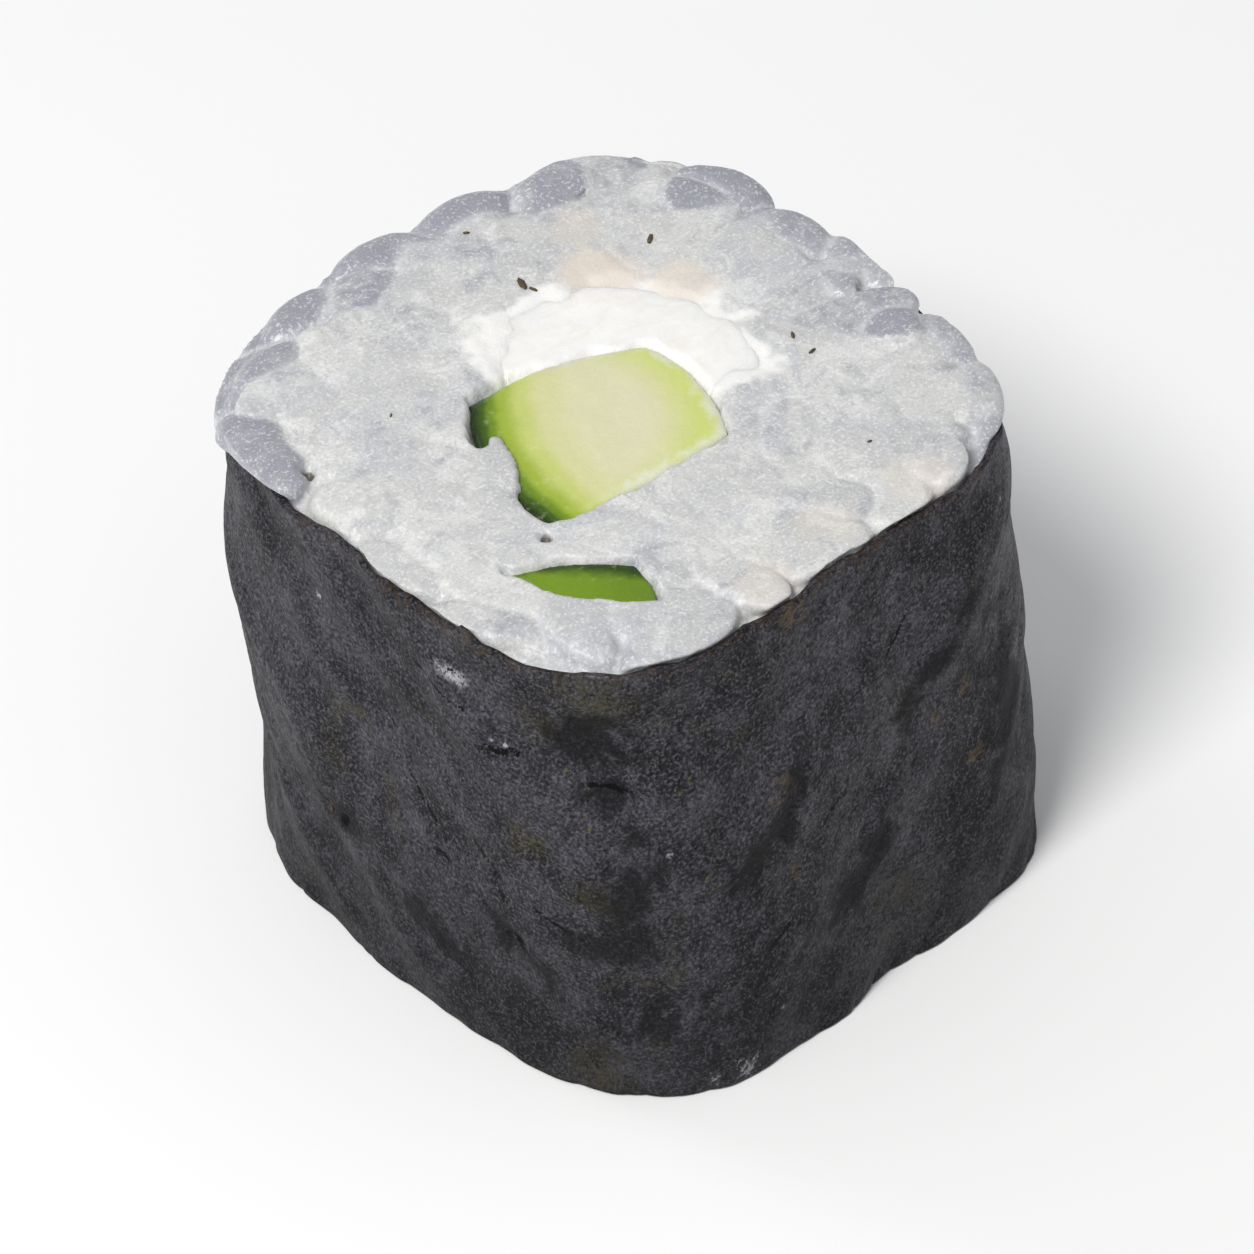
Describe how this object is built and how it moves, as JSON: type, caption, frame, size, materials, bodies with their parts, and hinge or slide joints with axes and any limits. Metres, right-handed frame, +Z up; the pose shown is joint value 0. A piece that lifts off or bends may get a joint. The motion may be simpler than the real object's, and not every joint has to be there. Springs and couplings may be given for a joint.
{
  "type": "cucumber maki",
  "caption": "Upright slice of a nori-wrapped rice roll with rounded square sides, showing cucumber and soft cheese on both cut faces.",
  "frame": {"origin": "middle of the piece's box on the plane of the lower cut face, which it stands on", "axes": "+Z up along the roll; the flat sides of the nori face +X, -X, +Y and -Y, with the seam of the nori on +X"},
  "size_m": [0.0324, 0.0336, 0.0245],
  "materials": {
    "nori": "satin",
    "rice": "satin",
    "cucumber_flesh": "gloss",
    "cucumber_skin": "gloss",
    "soft_cheese": "satin"
  },
  "bodies": {
    "root": {"nori_wrap": "nori", "rice": "rice", "cucumber_stick": "cucumber_flesh", "cucumber_strip": "cucumber_skin", "soft_cheese": "soft_cheese"}
  },
  "joints": []
}
